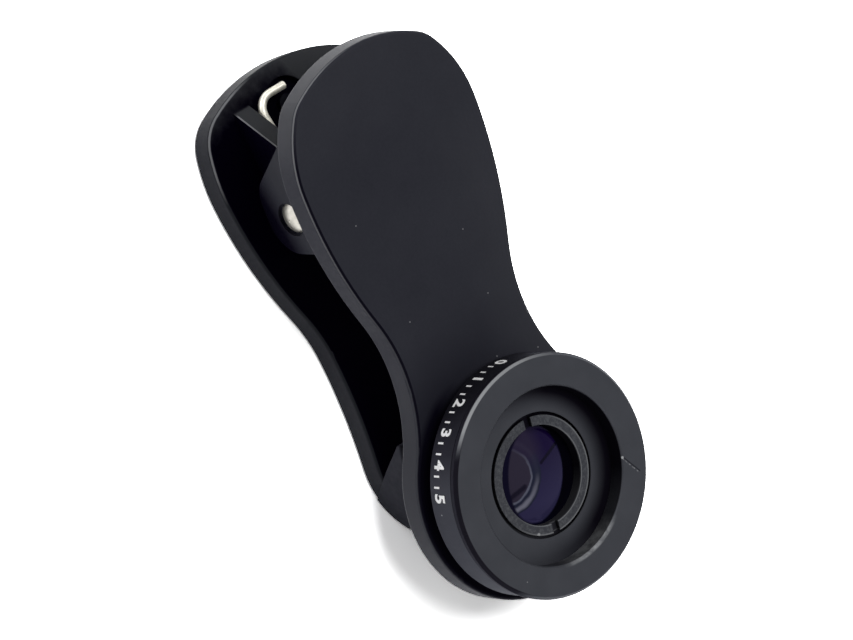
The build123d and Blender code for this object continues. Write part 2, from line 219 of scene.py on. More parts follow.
# 1 along a straight stroke: distance to the nearest point of the stretch from start to end
def stroke(tree, vector, start, end, width):
    run = np.subtract(end, start)
    away = vectorMaths(tree, "SUBTRACT", vector, start)
    share = vectorMaths(tree, "DOT_PRODUCT", away, tuple(run / np.dot(run, run)), out="Value")
    held = maths(tree, "ADD", share, 0.0, clamp=True)
    nearest = add(tree, "ShaderNodeVectorMath", {0: tuple(run), "Scale": held}, operation="SCALE").outputs[0]
    return ramp(tree, distance(tree, away, nearest), width, width * strokeCore)


# distance from the Z axis through a place
def radiusFrom(tree, vector, place=(0, 0, 0)):
    level = vectorMaths(tree, "MULTIPLY_ADD", vector, (1, 1, 0), (-place[0], -place[1], 0))
    return vectorMaths(tree, "LENGTH", level, out="Value")


# Colours aside, a tuple of two or four numbers in the dictionaries below is a ramp: from, to, and the
# values at both if they aren't 0 and 1. One of three is a window: low, high and soft width. Any other
# tuple has a note of its own. A single number that ends in PaintedShade or Deep is how much painted shade a
# place gets, one that ends in Pale or Highlight how much painted highlight, one that ends in Dark how much
# of a painted dark streak in the glass, and one that ends in Bare how much bare metal, which is a painted
# highlight where noted. X runs from the hinge to the tip and Y to the near side.
plastic = {
    "specular": 0.05,
    "roughness": (0.46, 0.55),  # lowest and highest
    "shadeRoughness": 0.4,  # added in the painted shade
    "cloudPerMm": 0.09,
    "cloudShare": 0.7,  # of the tone; the mottling gives the rest
    "mottlePerMm": 2.6,
    "grainPerMm": 7.0,
    "grainDepth": 0.012,
    "grainStrength": 0.5,
    "inner": (0.0011, 0.0005, 0.0042, 1),  # painted shade: near black under the shade mask, on inner faces and in shaded places
    "pale": (0.19, 0.193, 0.205, 1),  # painted highlights on rounded edges and lit places
    "dust": (0.16, 0.16, 0.17, 1),
    "dustRadius": 0.11,
}
jawDust = lensToPart([  # places in the lens frame
    (24.2, 6.71, 0),
    (30.58, -5.36, 0),
    (38.13, 8.87, 0),
    (21.9, -5.4, 0),
    (12.43, -9.43, 0),
    (14.39, -3.28, 0),
]).tolist()


# moulded black plastic: clouds of tone, a fine grain and dust; a mask of painted shade takes away colour and
# gloss, and a mask of painted highlights makes edges and lit places pale
def plasticMaterial(name, look, paintedShadeMask, paintedHighlightMask):
    material, tree = newTree(name)
    part = partCoords(tree)
    mottle = noise(tree, part, plastic["mottlePerMm"], detail=3.0)
    cloud = noise(tree, part, plastic["cloudPerMm"], detail=3.0)
    share = plastic["cloudShare"]
    tone = plus(tree, times(tree, cloud, share), times(tree, mottle, 1 - share))
    colour = mixColour(tree, spread(tree, tone), look["base"], look["light"])
    colour = mixColour(tree, paintedHighlightMask(tree, part), colour, plastic["pale"])
    paintedShade = paintedShadeMask(tree, part)
    colour = mixColour(tree, paintedShade, colour, plastic["inner"])
    dust = spots(tree, part, jawDust, plastic["dustRadius"])
    colour = mixColour(tree, dust, colour, plastic["dust"])
    rough = spread(tree, mottle, *plastic["roughness"])
    grain = noise(tree, part, plastic["grainPerMm"], detail=4.0, roughness=0.6)
    surface(
        tree,
        Base_Color=colour,
        # full metal under the painted shade, so that its near-black colour shows no gloss
        Metallic=paintedShade,
        Roughness=plus(tree, rough, times(tree, paintedShade, plastic["shadeRoughness"])),
        Normal=bump(tree, grain, plastic["grainStrength"], plastic["grainDepth"] * mm),
        Specular_IOR_Level=plastic["specular"],
    )
    return material


# The back jaw is the same plastic as the front jaw; its darker tones are painted shade.
backLook = {
    "base": (0.0072, 0.0082, 0.0108, 1),
    "light": (0.0105, 0.0115, 0.0145, 1),
    "innerFace": 3.5,  # above the floor
    "faceLow": (-0.08, -0.02),  # from the inner face: the face itself, above its rounded edge
    "faceHigh": (0.3, 0.1),  # from the inner face
    "shadeEnd": (18.2, 13.8),  # along x: painted shade up to here, as light as the outside past it
    "shadeMiddle": 2.0,  # y from which that end curves away on both sides
    "shadeCurve": 0.02,  # millimetres for each square millimetre
    "shadeStep": (-1.0, -3.0, 0.0, 4.0),  # the end lies this much nearer the hinge on the far side
    "shadeWander": (-0.6, 0.6),  # lowest and highest
    "wanderPerMm": 0.8,
    "pocket": (11.6, 0, 0),  # its middle
    "pocketEdge": (3.5, 3.4),  # from that middle
    "pocketHigh": (-0.1, -0.3),  # from the inner face
    "pocketLow": (2.2, 2.4),
    "pocketPaintedShade": 0.9,
    "earFace": 7.9,  # ears' outer sides, from the middle
    "earSide": (-0.02, -0.005),  # from the ears' sides
    "earFoot": (0.02, 0.06),  # from the inner face
    "wallHigh": (-0.3, -0.45),  # from the inner face: side wall, below the rounded edge
    "wallNear": (2.0, 6.0),
    "wallPaintedShade": 0.33,
    "lineHeight": (-0.2, -0.06, 0.05),  # from the inner face: painted highlight line on the rounded edge
    "lineAlong": (8.5, 15.8, 4.0),
    "lineNear": (3.0, 7.0),
    "linePale": 0.8,
    "earLine": (-0.24, -0.006, 0.002),  # from the ears' sides: painted highlight line along the near ear's edge
    "earLineLow": (3.8, 4.2),
    "upperPale": (-0.1, 0.0, 0.0, 0.09),  # from the inner face: painted light above it
    "earPale": (3.6, 3.9, 0.0, 0.03),
}


# back jaw, painted shade: near black on the inner face up to a curved line near the tip where the front
# jaw's shadow ends, in the pocket and on the ears' outer sides, and partly on the near side wall
def backPaintedShade(tree, part):
    look = backLook
    top = look["innerFace"]
    x, y, z = axes(tree, part)
    aside = maths(tree, "SUBTRACT", y, look["shadeMiddle"])
    curve = times(tree, aside, aside, look["shadeCurve"])
    wander = spread(tree, noise(tree, part, look["wanderPerMm"], detail=3.0), *look["shadeWander"])
    line = plus(tree, x, curve, ramp(tree, y, *look["shadeStep"]), wander)
    face = times(
        tree,
        ramp(tree, z, *look["faceLow"], level=top),
        ramp(tree, z, *look["faceHigh"], level=top),
        ramp(tree, line, *look["shadeEnd"]),
    )
    pocket = times(
        tree,
        ramp(tree, z, *look["pocketHigh"], level=top),
        ramp(tree, z, *look["pocketLow"]),
        ramp(tree, radiusFrom(tree, part, look["pocket"]), *look["pocketEdge"]),
        look["pocketPaintedShade"],
    )
    ear = times(
        tree,
        ramp(tree, maths(tree, "ABSOLUTE", y), *look["earSide"], level=look["earFace"]),
        ramp(tree, z, *look["earFoot"], level=top),
    )
    wall = times(
        tree,
        ramp(tree, z, *look["wallHigh"], level=top),
        ramp(tree, y, *look["wallNear"]),
        look["wallPaintedShade"],
    )
    return highest(tree, face, pocket, ear, wall)


# back jaw, painted highlights: thin pale lines on the rounded inner edge near the tip and along the near
# ear's edge, and painted light that makes all that lies above the inner face a little paler
def backPaintedHighlight(tree, part):
    look = backLook
    top = look["innerFace"]
    x, y, z = axes(tree, part)
    line = times(
        tree,
        window(tree, z, *look["lineHeight"], level=top),
        window(tree, x, *look["lineAlong"]),
        ramp(tree, y, *look["lineNear"]),
        look["linePale"],
    )
    ear = window(tree, y, *look["earLine"], level=look["earFace"])
    ear = times(tree, ear, ramp(tree, z, *look["earLineLow"]))
    upper = plus(tree, ramp(tree, z, *look["upperPale"], level=top), ramp(tree, z, *look["earPale"]))
    return highest(tree, line, ear, upper)


frontLook = {
    "base": (0.0165, 0.0172, 0.0235, 1),
    "light": (0.0230, 0.0238, 0.0310, 1),
    "outerFace": clip["frontOuter"],  # above the hinge
    "earSlope": 0.3,  # the painted shade on an ear deepens along z plus this share of x
    "earDark": (1.0, -3.2),
    "earHigh": (6.4, 6.0),
    "earPaintedShade": 0.96,
    "wideShade": (24.0, 15.5, 0.0, 0.5),  # from the lens axis
    "wideNear": (-8.0, 8.0, 0.25, 1.0),
    "wideAlong": (-45.0, -36.0),
    "closeShade": (17.2, 15.0, 0.0, 0.93),  # from the lens axis
    "closeNear": (0.0, 8.0),
    "shadeLow": (-0.3, -0.1),  # from the outer face
    "shadeLineHeight": (-0.13, -0.004, 0.003),  # from the outer face: painted dark line between rounded edge and face
    "shadeLineNear": (4.0, 8.0),
    "shadeLineAlong": (16.0, 8.0, 0.1, 0.85),
    "wallHigh": (-0.3, -0.5),  # from the outer face: side wall, below the rounded edge
    "wallLow": (6.4, 6.6),
    "wallNear": (2.0, 6.0),
    "waist": (-18.0, 8.0, 6.0),
    "waistPaintedShade": 0.38,
    "lineHeight": (-0.3, -0.15, 0.03),  # from the outer face: painted highlight line on the rounded edge
    "lineAlong": (-15.0, 10.0, 0.1, 0.7),
    "lineNear": (0.0, 6.0),
    "wallPale": (6.0, 21.0, 0.0, 0.3),
    "farSide": (-3.0, -11.0),
    "farAlong": (5.0, -18.0, 0.3, 1.0),
    "farPale": 0.055,
    "tipPale": (6.0, 20.0, 0.0, 0.032),
    "paleLow": (-0.1, 0.0),  # from the outer face
}


# front jaw, painted shade: ears darker towards their low edge, a wide soft shade round the lens and a steep
# one close to its near side, both on the outer face only, a painted dark line where the near rounded edge
# meets the face, and a partly darkened side wall beside the waist
def frontPaintedShade(tree, part):
    look = frontLook
    top = look["outerFace"]
    x, y, z = axes(tree, leaningCoords(tree, hinge))
    low = plus(tree, z, times(tree, x, look["earSlope"]))
    ear = times(tree, ramp(tree, low, *look["earDark"]), ramp(tree, z, *look["earHigh"]), look["earPaintedShade"])
    away = radiusFrom(tree, lensCoords(tree))
    wide = times(
        tree,
        ramp(tree, away, *look["wideShade"]),
        ramp(tree, y, *look["wideNear"]),
        ramp(tree, x, *look["wideAlong"]),
    )
    close = times(tree, ramp(tree, away, *look["closeShade"]), ramp(tree, y, *look["closeNear"]))
    shade = times(tree, highest(tree, wide, close), ramp(tree, z, *look["shadeLow"], level=top))
    shadeLine = times(
        tree,
        window(tree, z, *look["shadeLineHeight"], level=top),
        ramp(tree, y, *look["shadeLineNear"]),
        ramp(tree, x, *look["shadeLineAlong"]),
    )
    wall = times(
        tree,
        ramp(tree, z, *look["wallHigh"], level=top),
        ramp(tree, z, *look["wallLow"]),
        ramp(tree, y, *look["wallNear"]),
        window(tree, x, *look["waist"]),
        look["waistPaintedShade"],
    )
    return highest(tree, ear, shade, shadeLine, wall)


# front jaw, painted light: a highlight line on the rounded edge beside that dark line, a side wall that
# turns paler towards the tip, and a face a little paler at the tip and on the far side of the waist
def frontPaintedHighlight(tree, part):
    look = frontLook
    top = look["outerFace"]
    x, y, z = axes(tree, leaningCoords(tree, hinge))
    line = times(
        tree,
        window(tree, z, *look["lineHeight"], level=top),
        ramp(tree, x, *look["lineAlong"]),
        ramp(tree, y, *look["lineNear"]),
    )
    wall = times(
        tree,
        ramp(tree, z, *look["wallHigh"], level=top),
        ramp(tree, z, *look["wallLow"]),
        ramp(tree, x, *look["wallPale"]),
    )
    far = times(tree, ramp(tree, y, *look["farSide"]), ramp(tree, x, *look["farAlong"]), look["farPale"])
    face = highest(tree, far, ramp(tree, x, *look["tipPale"]))
    face = times(tree, face, ramp(tree, z, *look["paleLow"], level=top))
    return highest(tree, line, wall, face)


rubber = {
    "base": (0.0150, 0.0155, 0.0215, 1),
    "light": (0.0215, 0.0220, 0.0290, 1),
    # the washer's near-black colour, far darker than the pads', is painted shade for the gap at the lens's
    # neck
    "washer": (0.0007, 0.0005, 0.0012, 1),
    "washerLight": (0.0012, 0.0010, 0.0018, 1),
    "mottlePerMm": 1.1,
    "grainPerMm": 11.0,
    "grainDepth": 0.01,
    "grainStrength": 0.4,
    "roughness": 0.72,
    "specular": 0.05,
}


# soft matt rubber: fine mottling and a shallow grain
def rubberMaterial(name, base, light):
    material, tree = newTree(name)
    part = partCoords(tree)
    mottle = noise(tree, part, rubber["mottlePerMm"], detail=4.0)
    grain = noise(tree, part, rubber["grainPerMm"], detail=3.0, roughness=0.6)
    surface(
        tree,
        Base_Color=mixColour(tree, spread(tree, mottle), base, light),
        Roughness=rubber["roughness"],
        Normal=bump(tree, grain, rubber["grainStrength"], rubber["grainDepth"] * mm),
        Specular_IOR_Level=rubber["specular"],
    )
    return material


anodised = {
    "light": (0.043, 0.045, 0.053, 1),
    "dark": (0.036, 0.038, 0.045, 1),
    "deep": (0.0035, 0.0028, 0.0055, 1),  # painted shade in corners, grooves and slots and on walls
    "bareAndHighlight": (0.42, 0.43, 0.44, 1),  # scuffs and scratches, and painted highlights and a glint on edges
    "blotchPerMm": 0.22,
    "roughness": (0.47, 0.54),  # lowest and highest
    "deepRoughness": 0.22,  # added in the painted shade
    "metallic": 0.6,
    "deepMetallic": (0.0, 0.6),  # of the painted shade mask; full metal from the second on
    "specular": 0.2,
    "edgeTint": (0.66, 0.67, 0.7, 1),  # keeps faces seen at a low angle from turning pale
    "groovesPerMm": 6.0,
    "grooveDepth": 0.003,
    "grooveStrength": 0.25,
    "wobblePerMm": 0.6,
    "wobble": 0.2,
    "dustRadius": 0.11,
    "innerShade": 0.14,  # tone of the blackened inner pieces as a share of the outer ones'
}
lensDust = [(2.33, 14.6, 3.0), (9.46, 2.92, 4.39), (-9.6, 9.1, 6.6)]  # in the lens frame


# turning marks: a sine of radius plus height with a slow wobble
def turnedNormal(tree, lens):
    wobble = times(tree, noise(tree, lens, anodised["wobblePerMm"]), anodised["wobble"])
    run = plus(tree, radiusFrom(tree, lens), axes(tree, lens)[2], wobble)
    height = maths(tree, "SINE", times(tree, run, tau * anodised["groovesPerMm"]))
    return bump(tree, height, anodised["grooveStrength"], anodised["grooveDepth"] * mm)


# black anodised metal with soft blotches; the first mask paints shade, near black, full metal and rougher;
# the second gives bare metal and painted highlights
def metalMaterial(name, deepMask=None, bareAndHighlightMask=None, shade=1.0):
    material, tree = newTree(name)
    lens = lensCoords(tree)
    blotch = noise(tree, lens, anodised["blotchPerMm"], detail=3.0)
    pair = [tuple(shade * value for value in anodised[key][:3]) + (1,) for key in ("dark", "light")]
    colour = mixColour(tree, spread(tree, blotch), *pair)
    metallic = anodised["metallic"]
    rough = spread(tree, blotch, *anodised["roughness"])
    if bareAndHighlightMask:
        colour = mixColour(tree, bareAndHighlightMask(tree, lens), colour, anodised["bareAndHighlight"])
    if deepMask:
        deep = deepMask(tree, lens)
        colour = mixColour(tree, deep, colour, anodised["deep"])
        metallic = ramp(tree, deep, *anodised["deepMetallic"], metallic, 1.0)
        rough = plus(tree, rough, times(tree, deep, anodised["deepRoughness"]))
    colour = mixColour(tree, spots(tree, lens, lensDust, anodised["dustRadius"]), colour, plastic["dust"])
    surface(
        tree,
        Base_Color=colour,
        Metallic=metallic,
        Roughness=rough,
        Normal=turnedNormal(tree, lens),
        Specular_IOR_Level=anodised["specular"],
        Specular_Tint=anodised["edgeTint"],
    )
    return material


ringLook = {
    "top": 6.64,  # height of its face
    "rim": 15.0,  # radius
    "recess": 10.96,  # radius
    "bevelLow": (-0.5, -0.4),  # from the top
    "bevelOut": (-0.5, -0.42),  # from the rim
    "bevelNear": (0.0, 5.0),
    "bevelAlong": (-10.0, 8.5, 2.0),
    "bevelDeep": 0.9,
    "sideOut": (-0.06, -0.02),  # from the rim
    "sideAlong": (-14.0, -10.0, 0.6, 0.88),
    "wallIn": (0.12, 0.02),  # from the recess
    "wallHigh": (-0.05, -0.3),  # from the top
    "wallAlong": (-8.2, -4.0, 0.35, 0.97),
    "furrow": ((-3.3, -10.8, 6.64), (-5.9, -12.35, 6.64), 0.11),  # painted shade on the scratch's dark side: start, end, width
    "furrowDeep": 0.6,
    "scratch": ((-3.17, -10.51, 6.64), (-5.81, -12.05, 6.64), 0.085),  # bright side
    "scratchPerMm": 2.4,
    "scratchBroken": (0.45, 0.55, 0.0, 0.3),
    "nickAndGlint": (-3.17, -10.62, 6.6),  # place
    "nickAndGlintRadius": 0.2,
    "nickAndGlintBare": 0.75,
    "highlightAcross": (-0.1, 0.3, 0.25),  # from the recess: pale patches of painted highlight
    "highlightPlace": (-11.0, -2.0, 6.0),  # middle
    "highlightReach": (5.2, 1.8),
    "scuffAndHighlightPerMm": 0.8,
    "highlightPatches": (0.35, 0.6, 0.35, 1.0),
    "scuffAndHighlightBare": 0.5,
    "brightOut": (-0.3, -0.1, 0.08),  # from the rim: painted highlight on the upper bevel
    "brightAlong": (9.0, 11.5, 0.0, 0.4),
    "brightNear": (-7.0, -1.0),
}


# front ring, painted shade: a dark side, a dark bevel on its lower near side, a dark recess wall and the
# dark side of a scratch's furrow
def ringDeep(tree, lens):
    look = ringLook
    x, y, z = axes(tree, lens)
    away = radiusFrom(tree, lens)
    bevel = times(
        tree,
        ramp(tree, away, *look["bevelOut"], level=look["rim"]),
        ramp(tree, z, *look["bevelLow"], level=look["top"]),
        ramp(tree, y, *look["bevelNear"]),
        window(tree, x, *look["bevelAlong"]),
        look["bevelDeep"],
    )
    side = ramp(tree, away, *look["sideOut"], level=look["rim"])
    side = times(tree, side, ramp(tree, x, *look["sideAlong"]))
    wall = times(
        tree,
        ramp(tree, away, *look["wallIn"], level=look["recess"]),
        ramp(tree, z, *look["wallHigh"], level=look["top"]),
        ramp(tree, x, *look["wallAlong"]),
    )
    furrow = times(tree, stroke(tree, lens, *look["furrow"]), look["furrowDeep"])
    return highest(tree, bevel, side, wall, furrow)


# front ring: pale patches on the inner edge away from the hinge, a painted highlight broken up like scuffs,
# one broken scratch across the face with a nick at its inner end, and a painted highlight on the upper bevel
def ringBareAndHighlights(tree, lens):
    look = ringLook
    x, y = axes(tree, lens)[:2]
    away = radiusFrom(tree, lens)
    innerHighlight = times(
        tree,
        window(tree, away, *look["highlightAcross"], level=look["recess"]),
        ramp(tree, distance(tree, lens, look["highlightPlace"]), *look["highlightReach"]),
        ramp(tree, noise(tree, lens, look["scuffAndHighlightPerMm"], detail=3.0, roughness=0.6), *look["highlightPatches"]),
        look["scuffAndHighlightBare"],
    )
    broken = ramp(tree, noise(tree, lens, look["scratchPerMm"]), *look["scratchBroken"])
    scratch = times(tree, stroke(tree, lens, *look["scratch"]), broken)
    nickAndGlint = times(tree, spots(tree, lens, [look["nickAndGlint"]], look["nickAndGlintRadius"]), look["nickAndGlintBare"])
    bevel = times(
        tree,
        window(tree, away, *look["brightOut"], level=look["rim"]),
        ramp(tree, x, *look["brightAlong"]),
        ramp(tree, y, *look["brightNear"]),
    )
    return highest(tree, innerHighlight, scratch, nickAndGlint, bevel)


barrelLook = {
    "floor": 4.39,  # height of the recess floor
    "band": 14.8,  # radius of the printed band
    "cornerOut": (8.1, 10.15, 0.12, 0.98),
    "cornerFar": (7.0, -5.0),
    "cornerEnd": (13.5, 13.0),
    "grooveHigh": (-0.05, -0.25),  # from the floor
    "grooveOut": (8.4, 8.0),
    "grooveFar": (6.0, -2.0, 0.4, 1.0),
    "bandOut": (-0.2, -0.05),  # from the band
    "bandSlope": 0.35,  # the painted shade on the band deepens along x less this share of y
    "bandDeep": (0.5, 5.0, 0.58, 0.82),
}


# lens barrel, painted shade: the floor of the recess darkens outwards on the far side, the groove below it
# is dark, and the printed band is darkened all round and most towards the hinge
def barrelDeep(tree, lens):
    look = barrelLook
    x, y, z = axes(tree, lens)
    away = radiusFrom(tree, lens)
    corner = times(
        tree,
        ramp(tree, away, *look["cornerOut"]),
        ramp(tree, y, *look["cornerFar"]),
        ramp(tree, away, *look["cornerEnd"]),
    )
    groove = times(
        tree,
        ramp(tree, z, *look["grooveHigh"], level=look["floor"]),
        ramp(tree, away, *look["grooveOut"]),
        ramp(tree, y, *look["grooveFar"]),
    )
    lean = maths(tree, "SUBTRACT", x, times(tree, y, look["bandSlope"]))
    band = ramp(tree, away, *look["bandOut"], level=look["band"])
    band = times(tree, band, ramp(tree, lean, *look["bandDeep"]))
    return highest(tree, corner, groove, band)


retainerLook = {
    "top": 4.51,  # height of its face
    "radius": 7.34,
    "hole": 6.14,  # radius
    "shade": 0.85,  # of the barrel's tone
    "slotHigh": (-0.1, -0.25),  # from the face
    "slotSlope": 0.4,  # the painted shade in the slots deepens along x less this share of y
    "slotDeep": (-3.5, 0.5, 0.62, 0.97),
    "innerEdge": (0.0, 0.1, 0.06),  # from the hole
    "outerEdge": (-0.14, 0.0, 0.06),  # from the radius
    "edgeFar": (4.0, -4.0),
    "edgeHighlight": 0.22,
    "scuffAndHighlightPerMm": 3.0,
    "scuffs": (0.45, 0.7),
    "scuffAndHighlightBare": 0.1,
    "nickAndGlint": (-6.3, 3.6, 4.5),  # place of the painted glint on the outer edge
    "nickAndGlintRadius": 0.3,
    "nickAndGlintBare": 0.5,
}


# retaining ring, painted shade: slots and bore darkened below its face
def retainerDeep(tree, lens):
    look = retainerLook
    x, y, z = axes(tree, lens)
    lean = maths(tree, "SUBTRACT", x, times(tree, y, look["slotSlope"]))
    deep = ramp(tree, z, *look["slotHigh"], level=look["top"])
    return times(tree, deep, ramp(tree, lean, *look["slotDeep"]))


# retaining ring: painted highlights on the inner and outer edges on the far side, light scuffs, and a
# painted glint by the lower slot
def retainerBareAndHighlights(tree, lens):
    look = retainerLook
    x, y = axes(tree, lens)[:2]
    away = radiusFrom(tree, lens)
    inner = window(tree, away, *look["innerEdge"], level=look["hole"])
    outer = window(tree, away, *look["outerEdge"], level=look["radius"])
    far = ramp(tree, plus(tree, x, y), *look["edgeFar"])
    edges = times(tree, highest(tree, inner, outer), far, look["edgeHighlight"])
    scuffs = ramp(tree, noise(tree, lens, look["scuffAndHighlightPerMm"], detail=4.0, roughness=0.7), *look["scuffs"])
    nickAndGlint = times(tree, spots(tree, lens, [look["nickAndGlint"]], look["nickAndGlintRadius"]), look["nickAndGlintBare"])
    return highest(tree, edges, times(tree, scuffs, look["scuffAndHighlightBare"]), nickAndGlint)


steel = {
    "rivet": (0.29, 0.28, 0.255, 1),
    "rivetMetallic": 1.0,
    "wire": (0.92, 0.89, 0.78, 1),
    "wireMetallic": 0.55,
    "tarnish": 0.72,  # share of the colour left in tarnished patches
    "tarnishPerMm": 1.4,
    "tarnishSpan": (0.35, 0.75),
    "scuffAndHighlightPerMm": 9.0,
    "scuffDepth": 0.01,
    "scuffStrength": 0.3,
    "roughness": (0.31, 0.46),  # lowest and highest
}


# bright plain steel: tarnish in soft patches and fine scuffs in its roughness
def steelMaterial(name, colour, metallic):
    material, tree = newTree(name)
    part = partCoords(tree)
    scuffs = noise(tree, part, steel["scuffAndHighlightPerMm"], detail=3.0, roughness=0.7)
    patches = noise(tree, part, steel["tarnishPerMm"], detail=4.0)
    tarnished = tuple(steel["tarnish"] * value for value in colour[:3]) + (1,)
    surface(
        tree,
        Base_Color=mixColour(tree, ramp(tree, patches, *steel["tarnishSpan"]), colour, tarnished),
        Metallic=metallic,
        Roughness=spread(tree, scuffs, *steel["roughness"]),
        Normal=bump(tree, scuffs, steel["scuffStrength"], steel["scuffDepth"] * mm),
    )
    return material


# Front glass: the colours below are painted reflections over the violet coating, with painted shade at the
# rim.
glassLook = {
    "violet": (0.024, 0.021, 0.061, 1),
    "duskViolet": (0.013, 0.010, 0.036, 1),
    "duskAlong": (-3.5, 1.0),
    "mauve": (0.019, 0.014, 0.032, 1),
    "mauveSlope": 0.3,  # mauve grows along x plus this share of y
    "mauveAlong": (0.5, 2.6),
    "deepViolet": (0.006, 0.002, 0.026, 1),
    "deepFar": (-0.8, -2.8),
    "deepSlope": 0.29,  # and the deep violet along x plus this share of y
    "deepAlong": (0.5, 0.9),
    "ghost": (1.72, 3.95, 0),  # centre of the painted ring-shaped reflection, off the lens axis
    "warpPerMm": 0.5,
    "warp": 0.6,  # its rings wander by half of this at most
    "steely": (0.012, 0.015, 0.028, 1),
    "steelyRing": (3.3, 4.8, 0.2),
    "steelyAlong": (3.0, 0.3),
    "pale": (0.17, 0.17, 0.215, 1),
    "paleRing": (4.15, 4.4, 0.35),
    "paleAlong": (0.3, -2.9, 0.03, 1.0),
    "lobe": (0.025, 0.021, 0.033, 1),
    "lobeRadius": 3.3,
    "lobeEdge": (0.05, -0.05),  # from the lobe's radius
    "line": (0.095, 0.100, 0.135, 1),
    "lineRing": (-0.02, 0.1, 0.16),  # from the lobe's radius
    "lineAlong": (3.8, 0.0, 0.2, 1.0),
    "darkStreak": ((1.05, -1.2, 0), (1.9, -4.4, 0), 0.3),  # painted dark streak in the reflection: start, end, width
    "streakDark": 0.85,
    "wedge": ((-0.45, 2.3, 0), (-0.85, 5.0, 0), 0.45),  # painted dark wedge in the lobe: start, end, width
    "wedgeDark": 0.8,
    "oval": ((0.178, 0.055), (0.0, 0.212)),  # shares of x and y; their square sum is 1 at its edge
    "ovalEdge": (0.88, 0.98),
    # painted shade past the oval: black, blue towards the near side
    "black": (0.0012, 0.0010, 0.0030, 1),
    "blue": (0.0008, 0.0008, 0.0060, 1),
    "blueNear": (-1.0, 2.0),
    "coat": (0.45, 0.38, 1.0, 1),
    "roughness": 0.08,
    "index": 1.5,
    "clear": 0.08,
    "specular": 0.06,
}


# coated front glass, its pattern painted reflection: the rear rim's reflection as rings about a point off
# the axis, dark streaks, and painted shade past an oval
def frontGlassMaterial(name):
    look = glassLook
    material, tree = newTree(name)
    lens = lensCoords(tree)
    x, y = axes(tree, lens)[:2]
    colour = mixColour(tree, ramp(tree, x, *look["duskAlong"]), look["violet"], look["duskViolet"])
    across = plus(tree, x, times(tree, y, look["mauveSlope"]))
    colour = mixColour(tree, ramp(tree, across, *look["mauveAlong"]), colour, look["mauve"])
    upper = plus(tree, x, times(tree, y, look["deepSlope"]))
    upper = times(tree, ramp(tree, y, *look["deepFar"]), ramp(tree, upper, *look["deepAlong"]))
    colour = mixColour(tree, upper, colour, look["deepViolet"])

    uneven = maths(tree, "SUBTRACT", noise(tree, lens, look["warpPerMm"]), noiseMiddle)
    ghost = plus(tree, radiusFrom(tree, lens, look["ghost"]), times(tree, uneven, look["warp"]))
    inLobe = ramp(tree, ghost, *look["lobeEdge"], level=look["lobeRadius"])
    steely = times(tree, window(tree, ghost, *look["steelyRing"]), ramp(tree, x, *look["steelyAlong"]))
    colour = mixColour(tree, steely, colour, look["steely"])
    pale = times(tree, window(tree, ghost, *look["paleRing"]), ramp(tree, x, *look["paleAlong"]))
    colour = mixColour(tree, pale, colour, look["pale"])
    colour = mixColour(tree, inLobe, colour, look["lobe"])
    line = window(tree, ghost, *look["lineRing"], level=look["lobeRadius"])
    colour = mixColour(tree, times(tree, line, ramp(tree, x, *look["lineAlong"])), colour, look["line"])

    level = vectorMaths(tree, "MULTIPLY", lens, (1, 1, 0))
    darkStreak = times(tree, stroke(tree, level, *look["darkStreak"]), look["streakDark"])
    wedge = times(tree, stroke(tree, level, *look["wedge"]), inLobe, look["wedgeDark"])
    colour = mixColour(tree, highest(tree, darkStreak, wedge), colour, look["black"])
    squares = []
    for shareX, shareY in look["oval"]:
        share = plus(tree, times(tree, x, shareX), times(tree, y, shareY))
        squares.append(times(tree, share, share))
    outside = ramp(tree, plus(tree, *squares), *look["ovalEdge"])
    rim = mixColour(tree, ramp(tree, y, *look["blueNear"]), look["black"], look["blue"])
    surface(
        tree,
        Base_Color=mixColour(tree, outside, colour, rim),
        Roughness=look["roughness"],
        IOR=look["index"],
        Transmission_Weight=look["clear"],
        Specular_Tint=look["coat"],
        Specular_IOR_Level=look["specular"],
    )
    return material


rearGlassLook = {
    "dark": (0.020, 0.016, 0.050, 1),
    "light": (0.032, 0.027, 0.062, 1),
    "filmPerMm": 0.5,
    "roughness": 0.2,
    "index": 1.5,
    "clear": 0.3,
    "specular": 0.2,
}


# rear glass: dark violet with a soft mottle
def rearGlassMaterial(name):
    look = rearGlassLook
    material, tree = newTree(name)
    film = noise(tree, lensCoords(tree), look["filmPerMm"])
    surface(
        tree,
        Base_Color=mixColour(tree, spread(tree, film), look["dark"], look["light"]),
        Roughness=look["roughness"],
        IOR=look["index"],
        Transmission_Weight=look["clear"],
        Specular_IOR_Level=look["specular"],
    )
    return material


ink = {
    "full": (0.95, 0.95, 0.95, 1),
    "thin": (0.72, 0.72, 0.74, 1),
    "wearPerMm": 2.2,
    "wearSpan": (0.3, 0.75),
    "roughness": 0.5,
}


# white pad-printed ink, slightly thin in places
def inkMaterial(name):
    material, tree = newTree(name)
    wear = noise(tree, lensCoords(tree), ink["wearPerMm"], detail=4.0)
    colour = mixColour(tree, ramp(tree, wear, *ink["wearSpan"]), ink["full"], ink["thin"])
    surface(tree, Base_Color=colour, Roughness=ink["roughness"])
    return material


